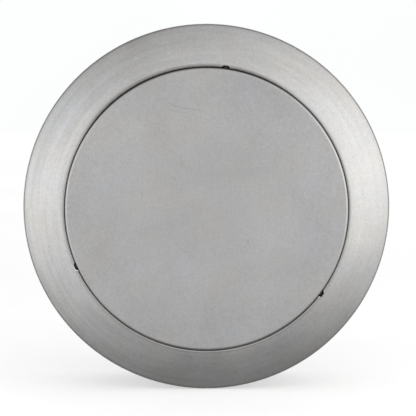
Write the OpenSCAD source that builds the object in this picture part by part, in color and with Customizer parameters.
// Spare tire cover: a spun steel face ring with a lift-off centre disc, carried on the
// wheel by a three-arm spider, and a tread band in two halves that hang on a hinge at
// the top and close round the tyre with a draw latch at the bottom.
//
// Frame: millimetres, +Z up, the cover's axis is Y and its face looks along -Y, so left
// is -X. The origin is the wheel centre on the back of the hub plate, in the tyre's
// mid-plane. Profiles are drawn in r, the distance from the axis, and h, the distance
// forward of the mid-plane, so y = -h. A range is a pair [low, high].

/* [Cover] */
// Outer radius of the cover, over the crown of the rim bead
cover_r = 370; // [366:1:376]
// Distance from the wheel mid-plane forward to the front of the centre disc's edge
face_h = 140; // [138:1:146]
// Distance from the wheel mid-plane back to the inside of the rear flange
rear_h = 95; // [92:1:105]
// Thickness of the steel sheet
sheet_t = 1.2; // [1:0.1:1.3]

/* [Face ring] */
// Radius of the outer wall of the groove round the centre disc
groove_r = 283; // [281:0.5:287]
// How far the ring's outer edge lies behind the front of the disc's edge
ring_drop = 48; // [46:1:50]
// Crown of the sloping ring between its two edges
ring_crown = 3; // [1:0.5:4]
// Radius of the roll at the ring's inner edge
roll_r = 2.5; // [2:0.5:4]
// Inner radius of the flange that carries the disc and the spider
flange_r = 258; // [256:1:260]

/* [Centre disc] */
// Gap between the disc and the outer wall of the groove
disc_gap = 1.4; // [1:0.2:4]
// Radius of the disc's rounded edge
disc_edge_r = 5; // [3:0.5:8]
// Depth of the disc's skirt, from the front of its edge
disc_skirt = 9.5; // [8.5:0.5:9.5]
// How far the middle of the disc stands forward of its edge
disc_crown = 3; // [0.5:0.5:4]

/* [Rubber bumpers] */
// Nominal angle of the first bumper, from +X towards +Z
bumper_a = 83; // [75:1:90]
// Half length of a bumper along the groove
bumper_r = 8.5; // [8:0.5:9.5]
// Half width of a bumper across the groove
bumper_w = 6.2; // [5.5:0.1:7]

/* [Wheel bracket] */
// Radius of the bolt circle of the wheel, five bolts on 114.3
wheel_pcr = 57.15; // [54:0.05:60]
// Radius of a wheel bolt hole
wheel_hole_r = 7; // [6.5:0.25:7.5]
// Number of wheel bolts
wheel_bolts = 5; // [4:1:5]
// Radius of the hub plate
hub_r = 85; // [80:1:90]
// Thickness of the hub plate
hub_t = 6; // [5:0.5:8]
// Width of a spider arm
arm_w = 36; // [30:1:40]

/* [Tread band] */
// Width of the rear flange
rear_flange_w = 36; // [32:1:38]
// Opening angle that the ends at the hinge are relieved for
open_a = 14; // [8:1:14]
// Thickness of the rubber tread strips
strip_t = 2; // [1:0.5:2]

/* [Hinge] */
// Radius of the hinge barrel
barrel_r = 3.5; // [3.2:0.1:3.5]
// Radius of the hinge pin
pin_r = 1.5; // [1.4:0.1:1.7]

/* [Latch] */
// Height of the latch centre line below the wheel centre
latch_z = 344; // [343:0.5:345]
// Offset from the lever's pivot to the bail's pivot
lever_throw = 12; // [11:0.5:13]
// Radius of the bail wire
wire_r = 1.5; // [1.2:0.1:1.5]

/* [Hidden] */
$fn = 64;
round_fn = 180;                     // facets of everything spun about the axis

edge_h = face_h - ring_drop;        // front of the ring at its outer edge
flange_h = face_h - 20;             // front of the carrying flange
flange_back_h = flange_h - sheet_t;
band_r = cover_r - 8;               // inside of the tread wall
wall_r = band_r + sheet_t;          // outside of the tread wall
edge_r = cover_r - 2;               // outer edge of the face ring, inside the bead
hoop_r = band_r - 2;                // inside of the hoop behind the ring's edge
rim_h = edge_h + 1.7;               // front of the bead's lip
bead_h = edge_h - 7.6;              // inside of the bead's rear wall
rear_r = band_r - rear_flange_w;    // inner edge of the rear flange
back_y = rear_h + sheet_t;          // back face of the rear flange

rivet_r = 2;
rivet_hole_r = rivet_r + 0.05;
pivot_gap = 0.06;                   // radial play of a turning part

// ---- helpers ----

// local x, y, z become world X, Z and h
module facing() { rotate([90, 0, 0]) children(); }

// children with their z axis along h, through the point at = [x, z], from h
module along_h(at, h = 0) facing() translate([at[0], at[1], h]) children();

// a solid of revolution about the cover's axis from an r, h profile
module spun(start = 0, sweep = 360) {
    if (sweep == 360) facing() rotate_extrude($fn = round_fn) children();
    else facing() rotate_extrude(angle = sweep, start = start, $fn = round_fn) children();
}

// a rectangular profile over a range of r and a range of h
module rect(r, h) polygon([[r[0], h[0]], [r[1], h[0]], [r[1], h[1]], [r[0], h[1]]]);

// a plate in the XZ plane over a range of h
module plate(h) facing() translate([0, 0, h[0]]) linear_extrude(h[1] - h[0]) children();

// a box over ranges of world x, y and z
module block(x, y, z)
    translate([x[0], y[0], z[0]]) cube([x[1] - x[0], y[1] - y[0], z[1] - z[0]]);

// a round bar along Y over a range of h, at = [x, z]
module ybar(r, h, at) along_h(at, h[0]) cylinder(r = r, h = h[1] - h[0], $fn = 48);

// a round bar along Z over a range of z, at = [x, y]
module zbar(r, z, at)
    translate([at[0], at[1], z[0]]) cylinder(r = r, h = z[1] - z[0], $fn = 48);

// a radial bar over a range of radii, at h and an angle from the top towards +X
module radial_bar(r, radii, angle, h)
    rotate([0, angle, 0]) translate([0, -h, radii[0]])
        cylinder(r = r, h = radii[1] - radii[0], $fn = 40);

// the point at a radius and an angle from +X towards +Z
function polar(r, angle) = [r * cos(angle), r * sin(angle)];

// points on an arc, the angle counted from the front towards the axis
function arc(centre, r, from, to, steps) = [for (i = [0:steps])
    let (angle = from + (to - from) * i / steps)
    [centre[0] - r * sin(angle), centre[1] + r * cos(angle)]];

function backwards(points) = [for (i = [len(points) - 1:-1:0]) points[i]];

// the range from near to far on one side of zero: side is -1 or 1
function span(side, near, far) = side < 0 ? [-far, -near] : [near, far];

// ---- face ring ----

groove_fillet = 3;
groove_c = [groove_r - groove_fillet, flange_h + groove_fillet];
roll_c = [groove_r + roll_r, face_h - 5.5 - roll_r];
roll_a = 25;                        // where the roll runs into the slope
slope_in = [roll_c[0] + roll_r * sin(roll_a), roll_c[1] + roll_r * cos(roll_a)];
slope_out = [edge_r - 1, edge_h + 0.2];
slope_run = slope_out - slope_in;

bumper_at = [bumper_a - 0.7, bumper_a + 120.6, bumper_a + 240.6];
bumper_c = groove_r - 0.7;          // radius to the middle of a bumper
neck_c = bumper_c - 6.8;            // radius to the neck behind it
neck_r = 4.5;

arm_angles = [for (i = [0:2]) bumper_a + 60 + 120 * i];
stud_r = 267;                       // radius to the spider bolts
stud_hole_r = 4.2;

// the sloping, crowned ring: u runs from 0 at the roll to 1 at the edge, and depth is
// measured into the sheet, square to its front
function ring_slope(u) = (slope_run[1] + 4 * ring_crown * (1 - 2 * u)) / slope_run[0];
function ring_point(u, depth) =
    let (tilt = atan(-ring_slope(u)))
    [slope_in[0] + u * slope_run[0] - depth * sin(tilt),
     slope_in[1] + u * slope_run[1] + 4 * ring_crown * u * (1 - u) - depth * cos(tilt)];

// one face of the ring's sheet, from the flange out to u = end
function ring_skin(depth, end) = concat(
    [[flange_r, flange_h - depth]],
    arc(groove_c, groove_fillet + depth, 180, 270, 6),
    arc(roll_c, roll_r - depth, 90, -roll_a, 12),
    [for (i = [0:14]) ring_point(0.02 + (end - 0.02) * i / 14, depth)]);

module ring_profile() {
    turned_edge = [
        [edge_r, edge_h - 0.8], [edge_r, edge_h - 4.1], [edge_r - 0.7, edge_h - 4.8],
        [hoop_r, edge_h - 4.8], [hoop_r, edge_h - 3.6],
        [edge_r - sheet_t, edge_h - 3.6], [edge_r - sheet_t, edge_h - 1.4]];
    polygon(concat(ring_skin(0, 1), turned_edge, backwards(ring_skin(sheet_t, 0.985))));
}

module face_ring() color([0.72, 0.72, 0.71]) difference() {
    through_flange = [flange_h - 5, flange_h + 5];
    spun() ring_profile();
    // openings in the roll for the bumper heads, and holes for their necks
    for (angle = bumper_at) {
        plate([flange_h, face_h]) rotate(angle) bumper_outline(0.4);
        ybar(neck_r + 0.1, through_flange, polar(neck_c, angle));
    }
    // holes for the spider bolts
    for (angle = arm_angles) ybar(stud_hole_r, through_flange, polar(stud_r, angle));
}

// a hoop welded behind the ring's edge, which keeps the band centred on the face
module edge_hoop() color([0.66, 0.66, 0.65]) difference() {
    around_hoop = [hoop_r - 3, hoop_r + 3];
    spun() rect([hoop_r, hoop_r + sheet_t], [edge_h - 26, edge_h - 4.83]);
    // slot for the hinge hanger and its rivet holes
    block([-2, 2], [9 - edge_h, 27 - edge_h], around_hoop);
    hanger_bars(hanger_hole_r, around_hoop);
}

// ---- rubber bumpers ----

// a bumper's outline at angle 0: an oval along the groove
module bumper_outline(grow) {
    half_w = bumper_w + grow;
    end = bumper_r - bumper_w;
    for (y = [-end, end]) translate([bumper_c, y]) circle(r = half_w, $fn = 64);
    translate([bumper_c - half_w, -end]) square([2 * half_w, 2 * end]);
}

module rubber_bumpers() color([0.05, 0.05, 0.05]) {
    seat_h = flange_h + 0.02;
    top_h = face_h - disc_skirt - 0.5;
    // rear h, front h, growth of the outline
    steps = [[seat_h, top_h - 2.4, 0], [top_h - 2.4, top_h - 1, -0.8], [top_h - 1, top_h, -2]];
    for (angle = bumper_at) {
        for (step = steps) plate([step[0], step[1]]) rotate(angle) bumper_outline(step[2]);
        // neck through the flange and the barb behind it
        along_h(polar(neck_c, angle)) rotate_extrude($fn = 48) polygon([
            [0, seat_h], [neck_r, seat_h], [neck_r, flange_back_h - 0.05],
            [6, flange_back_h - 0.05], [4.6, flange_back_h - 4], [0, flange_back_h - 4]]);
    }
}

// ---- wheel bracket ----

pad_t = 2;
spider_t = 3;
spider_h = flange_h + pad_t;        // back of the spider plate
spider_front_h = spider_h + spider_t;

module wheel_hole_circles(r) for (i = [0:wheel_bolts - 1])
    rotate(90 + 360 / wheel_bolts * i) translate([wheel_pcr, 0]) circle(r = r, $fn = 48);

// children at each spider bolt, their z axis along h
module at_studs(h = 0) for (angle = arm_angles) along_h(polar(stud_r, angle), h) children();

module face_spider() color([0.45, 0.46, 0.47]) plate([spider_h, spider_front_h]) {
    arm_length = stud_r - 8;
    difference() {
        union() {
            circle(r = 78, $fn = 96);
            for (angle = arm_angles) rotate(angle) {
                translate([0, -arm_w / 2]) square([arm_length, arm_w]);
                translate([arm_length, 0]) circle(r = arm_w / 2, $fn = 64);
            }
        }
        circle(r = 28, $fn = 64);
        // access to the wheel bolts
        wheel_hole_circles(14.5);
        for (angle = arm_angles) rotate(angle) {
            translate([stud_r, 0]) circle(r = stud_hole_r, $fn = 48);
            // lightening holes along the arm
            for (x = [105:40:225]) translate([x, 0]) circle(r = 9, $fn = 48);
        }
    }
}

module spider_tube() color([0.4, 0.41, 0.42]) spun() rect([37, 40], [hub_t, spider_h]);

module hub_plate() color([0.45, 0.46, 0.47]) plate([0, hub_t]) difference() {
    circle(r = hub_r, $fn = 96);
    circle(r = 34, $fn = 96);
    wheel_hole_circles(wheel_hole_r);
}

module spider_pads() color([0.07, 0.07, 0.07]) at_studs(flange_h) difference() {
    cylinder(r = 8.6, h = pad_t, $fn = 48);
    translate([0, 0, -1]) cylinder(r = stud_hole_r, h = pad_t + 2, $fn = 48);
}

// domed head behind the flange, chamfered end in front of the spider
module spider_bolts() color([0.75, 0.75, 0.72]) {
    shank_r = 3.95;
    at_studs() rotate_extrude($fn = 48) polygon([
        [0, flange_back_h - 3], [5, flange_back_h - 2.8], [7.8, flange_back_h - 1.6],
        [9, flange_back_h], [shank_r, flange_back_h], [shank_r, spider_front_h + 8],
        [3.2, spider_front_h + 8.8], [0, spider_front_h + 8.8]]);
}

// hexagon nuts with a round flange
module spider_nuts() color([0.75, 0.75, 0.72]) at_studs(spider_front_h) difference() {
    union() {
        cylinder(r = 8.6, h = 1.4, $fn = 48);
        cylinder(r = 7.5, h = 6.5, $fn = 6);
    }
    translate([0, 0, -1]) cylinder(r = 4, h = 9, $fn = 48);
}

// ---- hinge ----

hinge_z = cover_r - barrel_r;       // the barrel stays flush with the bead
hinge_at = [0, hinge_z];
hinge_front = bead_h - sheet_t - 0.7;
hanger_back = edge_h - 25.5;
hanger_rivet_r = 1.55;
hanger_hole_r = hanger_rivet_r + 0.05;

leaf_t = 1.2;
leaf_r = wall_r + 0.05;             // inside of a hinge leaf
leaf_outer_r = leaf_r + leaf_t;
// front and rear h of every hinge knuckle
left_knuckles = [[66, 36.5], [4.5, -25.5]];
right_knuckles = [[36, 5], [-26, -56]];
leaf_front = left_knuckles[0][0];
leaf_rear = right_knuckles[1][1];

// radial bars at the hanger's rivets
module hanger_bars(r, radii) for (angle = [-2.4, 2.4], h = [edge_h - 13, edge_h - 21])
    radial_bar(r, radii, angle, h);

// radial bars at the rivets of the leaf on one side
module leaf_bars(side, r, radii) for (h = [54, 18, -14, -44])
    radial_bar(r, radii, side * 4.6, h);

module hinge_hanger() color([0.6, 0.6, 0.6]) difference() {
    union() {
        ybar(barrel_r, [hanger_back, hinge_front], hinge_at);
        block([-1.5, 1.5], [-hinge_front, -hanger_back], [hoop_r - 1, hinge_z]);
        // saddle inside the hoop
        spun(90 - 3.6, 7.2) rect([hoop_r - 1.6, hoop_r - 0.02], [hanger_back, edge_h - 7]);
    }
    ybar(pin_r, [hanger_back - 1, hinge_front + 1], hinge_at);
    hanger_bars(hanger_hole_r, [hoop_r - 4, hoop_r + 1]);
}

module hanger_rivets() color([0.78, 0.78, 0.76]) {
    hanger_bars(hanger_rivet_r, [hoop_r - 1.7, hoop_r + sheet_t - 0.1]);
    hanger_bars(2.8, [hoop_r - 2.6, hoop_r - 1.65]);
}

// the pin and the head at its rear end
module hinge_pin() color([0.8, 0.8, 0.78]) {
    ybar(pin_r, [leaf_rear - 0.5, hinge_front], hinge_at);
    ybar(barrel_r - 0.3, [leaf_rear - 2.5, leaf_rear - 0.5], hinge_at);
}

// one leaf: side is -1 for the left half and 1 for the right half
module hinge_leaf(side, knuckles) color([0.62, 0.62, 0.62]) {
    // the leaf's two edges, in degrees from the top
    near_a = 0.8;
    far_a = 7.2;
    difference() {
        union() {
            spun(side < 0 ? 90 + near_a : 90 - far_a, far_a - near_a)
                rect([leaf_r, leaf_outer_r], [leaf_rear, leaf_front]);
            for (knuckle = knuckles) {
                ybar(barrel_r, [knuckle[1], knuckle[0]], hinge_at);
                block(span(side, 0, 7), [-knuckle[0], -knuckle[1]],
                    [leaf_r + 0.1, leaf_outer_r - 0.05]);
            }
        }
        for (knuckle = knuckles)
            ybar(pin_r + pivot_gap, [knuckle[1] - 0.2, knuckle[0] + 0.2], hinge_at);
        leaf_bars(side, rivet_hole_r, [leaf_r - 2, leaf_r + 4]);
    }
}
module hinge_leaf_left() hinge_leaf(-1, left_knuckles);
module hinge_leaf_right() hinge_leaf(1, right_knuckles);

// shanks, outer heads and inner heads
module leaf_rivets(side) color([0.78, 0.78, 0.76]) {
    leaf_bars(side, rivet_r, [band_r - 0.05, leaf_outer_r + 0.1]);
    leaf_bars(side, 3.8, [leaf_outer_r + 0.03, leaf_outer_r + 1.2]);
    leaf_bars(side, 3.2, [band_r - 0.9, band_r - 0.04]);
}
module leaf_rivets_left() leaf_rivets(-1);
module leaf_rivets_right() leaf_rivets(1);

// ---- tread band ----

// lip, bead, tread wall and rear flange down the outside, then back up the inside
module band_profile() polygon([
    [edge_r - 0.6, rim_h - 0.2], [edge_r - 0.4, rim_h], [cover_r - 1.2, rim_h],
    [cover_r - 0.35, rim_h - 0.35], [cover_r, rim_h - 1.2],
    [cover_r, bead_h + 0.2], [cover_r - 0.4, bead_h - 0.8],
    [cover_r - 1.4, bead_h - sheet_t], [wall_r, bead_h - sheet_t],
    [wall_r, -rear_h], [wall_r - 0.4, -rear_h - 0.8], [wall_r - 1.2, -back_y],
    [rear_r, -back_y], [rear_r, -rear_h],
    [band_r, -rear_h], [band_r, bead_h], [cover_r - sheet_t, bead_h],
    [cover_r - sheet_t, rim_h - sheet_t], [edge_r - 0.6, rim_h - sheet_t]]);

// half of the band: side is -1 for the left half and 1 for the right half
module band_half(side) difference() {
    end_gap = 0.4;                  // from the mid-line to an end
    past = 10;                      // how far the end cut reaches beyond the band
    relief = 12;                    // height of the sloping relief
    relief_z = hinge_z - 0.4;
    spun(side < 0 ? 90 : -90, 180) band_profile();
    // the two ends, the upper one relieved above the hinge pin
    plate([-back_y - 5, rim_h + 5]) polygon([
        [-side * past, -cover_r - past], [side * end_gap, -cover_r - past],
        [side * end_gap, relief_z],
        [side * (end_gap + relief * tan(open_a + 1)), relief_z + relief],
        [-side * past, relief_z + relief]]);
    // room for the barrel
    block([-5.5, 5.5], [sheet_t - bead_h, 6 - leaf_rear], [band_r - 6, cover_r + 5]);
    leaf_bars(side, rivet_hole_r, [band_r - 5, wall_r + 3]);
    // rivet holes for the latch or the keeper
    at_latch() flange_bars(side < 0 ? base_rivet_x : keeper_rivet_x, rivet_hole_r,
        [-back_y - 3, -rear_h + 3]);
    // drain hole
    radial_bar(5, [band_r - 5, wall_r + 5], 180 - side * 6, 40);
}
module band_left() color([0.68, 0.68, 0.67]) band_half(-1);
module band_right() color([0.68, 0.68, 0.67]) band_half(1);

// a channel over the inner edge of the rear flange
module edge_trim(side) color([0.06, 0.06, 0.06])
    spun(side < 0 ? 90.6 : -89.4, 178.8) polygon([
        [rear_r - 3, -rear_h + 0.6], [rear_r - 2, -rear_h + 1.7],
        [rear_r + 6, -rear_h + 1.7], [rear_r + 6, -rear_h + 0.03],
        [rear_r - 0.05, -rear_h + 0.03], [rear_r - 0.05, -back_y - 0.03],
        [rear_r + 6, -back_y - 0.03], [rear_r + 6, -back_y - 1.7],
        [rear_r - 2, -back_y - 1.7], [rear_r - 3, -back_y - 0.6]]);
module edge_trim_left() edge_trim(-1);
module edge_trim_right() edge_trim(1);

module tread_strip(side) color([0.1, 0.1, 0.1])
    spun(side < 0 ? 100 : -80, 160) rect([band_r - strip_t, band_r - 0.03], [-38, 38]);
module tread_strip_left() tread_strip(-1);
module tread_strip_right() tread_strip(1);

// ---- draw latch on the back of the rear flange ----

lever_at = [-26, back_y + 7.2];     // x, y of the lever's pivot
lever_x = lever_at[0];
lever_y = lever_at[1];
bail_at = [lever_x - lever_throw, lever_y];
bail_x = bail_at[0];
bail_pin_r = 1.5;
bar_x = 26;                         // cross bar of the bail
foot_half = 10.4;                   // half width of the base and of the keeper's foot
foot_t = 1.6;
lever_half = 8.4;                   // half width of the lever
latch_through = [-12, 12];
base_rivet_x = -60;
keeper_rivet_x = 36;

// children drawn with z = 0 on the latch centre line
module at_latch() translate([0, 0, -latch_z]) children();

// a pair of bars along Y at the rivets through the rear flange
module flange_bars(x, r, h) for (z = [-5.5, 5.5]) ybar(r, h, [x, z]);

// shanks, rear heads and inner heads
module flange_rivets(x) color([0.78, 0.78, 0.76]) at_latch() {
    flange_bars(x, rivet_r, [-back_y - 1.7, -rear_h + 0.05]);
    flange_bars(x, 3.6, [-back_y - 2.9, -back_y - 1.63]);
    flange_bars(x, 3.2, [-rear_h + 0.03, -rear_h + 0.9]);
}
module base_rivets() flange_rivets(base_rivet_x);
module keeper_rivets() flange_rivets(keeper_rivet_x);

// a flat foot on the flange over a range of x
module latch_foot(x) block(x, [back_y, back_y + foot_t], [-foot_half, foot_half]);
module foot_holes(x) flange_bars(x, rivet_hole_r, [-back_y - 3, -back_y + 1]);

// base: a foot with two ears for the lever
module latch_base() color([0.74, 0.74, 0.7]) at_latch() difference() {
    union() {
        latch_foot([-70, -13]);
        for (side = [-1, 1]) {
            ear = span(side, foot_half - foot_t, foot_half);
            block([lever_x - 8, lever_x + 8], [back_y + 0.5, lever_y], ear);
            zbar(5, ear, lever_at);
        }
    }
    zbar(rivet_r + pivot_gap, latch_through, lever_at);
    foot_holes(base_rivet_x);
}

// the lever turns on two short rivets, so that the bail can pass between them
module lever_rivets() color([0.8, 0.8, 0.78]) at_latch() for (side = [-1, 1]) {
    zbar(rivet_r, span(side, 6.7, 11.6), lever_at);
    zbar(3.4, span(side, 10.5, 11.6), lever_at);
}

// lever: two cheeks joined by a plate with a rounded end
module latch_lever() color([0.76, 0.76, 0.73]) at_latch() difference() {
    end_x = -92;
    width = [-lever_half, lever_half];
    union() {
        for (side = [-1, 1]) {
            cheek = span(side, lever_half - 1.4, lever_half);
            zbar(5, cheek, lever_at);
            block([-52, lever_x], [lever_y - 4, lever_y + 5], cheek);
        }
        block([end_x, -46], [lever_y + 3.6, lever_y + 5], width);
        zbar(2, width, [end_x, lever_y + 3]);
    }
    zbar(rivet_r + pivot_gap, latch_through, lever_at);
    zbar(bail_pin_r, latch_through, bail_at);
}

module bail_pin() color([0.8, 0.8, 0.78])
    at_latch() zbar(bail_pin_r, [-lever_half, lever_half], bail_at);

// wire loop with two eyes on the lever and a cross bar behind the keeper's lip
module latch_bail() color([0.8, 0.8, 0.77]) at_latch() difference() {
    bail_half = 4.6;                // from the centre line to a side wire
    wire_x = bail_x + 2.4;          // where a side wire leaves its eye
    union() {
        for (z = [-bail_half, bail_half]) {
            zbar(3.1, [z - wire_r, z + wire_r], bail_at);
            translate([wire_x, lever_y, z]) rotate([0, 90, 0])
                cylinder(r = wire_r, h = bar_x - wire_x, $fn = 32);
            translate([bar_x, lever_y, z]) sphere(r = wire_r, $fn = 32);
        }
        zbar(wire_r, [-bail_half, bail_half], [bar_x, lever_y]);
    }
    zbar(bail_pin_r + pivot_gap, latch_through, bail_at);
}

// keeper: a foot and a raised lip that ends just in front of the cross bar
module latch_keeper() color([0.74, 0.74, 0.7]) at_latch() difference() {
    lip_half_t = 0.8;
    lip_x = bar_x - 3.4;            // middle of the lip's upright
    lip_y = lever_y - wire_r - 1.3; // middle of its bent end
    lip_width = [-7, 7];
    union() {
        latch_foot([13, 44]);
        block([lip_x - lip_half_t, lip_x + lip_half_t], [back_y + 1, lip_y], lip_width);
        zbar(lip_half_t, lip_width, [lip_x, lip_y]);
        block([lip_x, bar_x + 2], [lip_y - lip_half_t, lip_y + lip_half_t], lip_width);
    }
    foot_holes(keeper_rivet_x);
}

// ---- centre disc ----

disc_r = groove_r - disc_gap;
crown_r = disc_r - disc_edge_r;     // where the crown meets the rounded edge

// the disc's shallow crown: u runs from 0 on the axis to 1 at the rounded edge
function crown_point(u, depth) = [crown_r * u, face_h - depth + disc_crown * (1 - u * u)];

// one face of the disc's sheet, from the axis out to the skirt
function disc_skin(depth) = concat(
    [for (i = [0:11]) crown_point(i / 12, depth)],
    arc([crown_r, face_h - disc_edge_r], disc_edge_r - depth, 0, -90, 8));

module centre_disc() color([0.7, 0.7, 0.7]) spun() polygon(concat(
    disc_skin(0),
    [[disc_r, face_h - disc_skirt], [disc_r - sheet_t, face_h - disc_skirt]],
    backwards(disc_skin(sheet_t))));

// spring clips welded to the back of the disc, reaching through the face ring
module disc_clips() color([0.55, 0.55, 0.54]) {
    clip_t = 1.2;
    clip_half = 12;
    clip_r = flange_r - 0.9;        // outer face of the leg
    end_h = flange_h - 8;
    width = [-clip_half, clip_half];
    // the back of the disc over the foot's outer corners
    corner_r = sqrt(pow(clip_r, 2) + pow(clip_half, 2));
    foot_h = crown_point(corner_r / crown_r, sheet_t)[1] - 0.03;
    for (i = [0:2]) rotate([0, -(bumper_a + 30 + 120 * i), 0]) {
        // foot against the disc, leg through the ring, and a turned-in end
        block([flange_r - 24, clip_r], [-foot_h, clip_t - foot_h], width);
        block([clip_r - clip_t, clip_r], [clip_t / 2 - foot_h, -end_h], width);
        block([flange_r - 10, clip_r], [-end_h - clip_t, -end_h], width);
    }
}

face_ring();
edge_hoop();
rubber_bumpers();
face_spider();
spider_tube();
hub_plate();
spider_pads();
spider_bolts();
spider_nuts();
hinge_hanger();
hanger_rivets();
hinge_pin();
centre_disc();
disc_clips();
band_left();
band_right();
hinge_leaf_left();
hinge_leaf_right();
leaf_rivets_left();
leaf_rivets_right();
edge_trim_left();
edge_trim_right();
tread_strip_left();
tread_strip_right();
latch_base();
base_rivets();
lever_rivets();
latch_lever();
bail_pin();
latch_bail();
latch_keeper();
keeper_rivets();
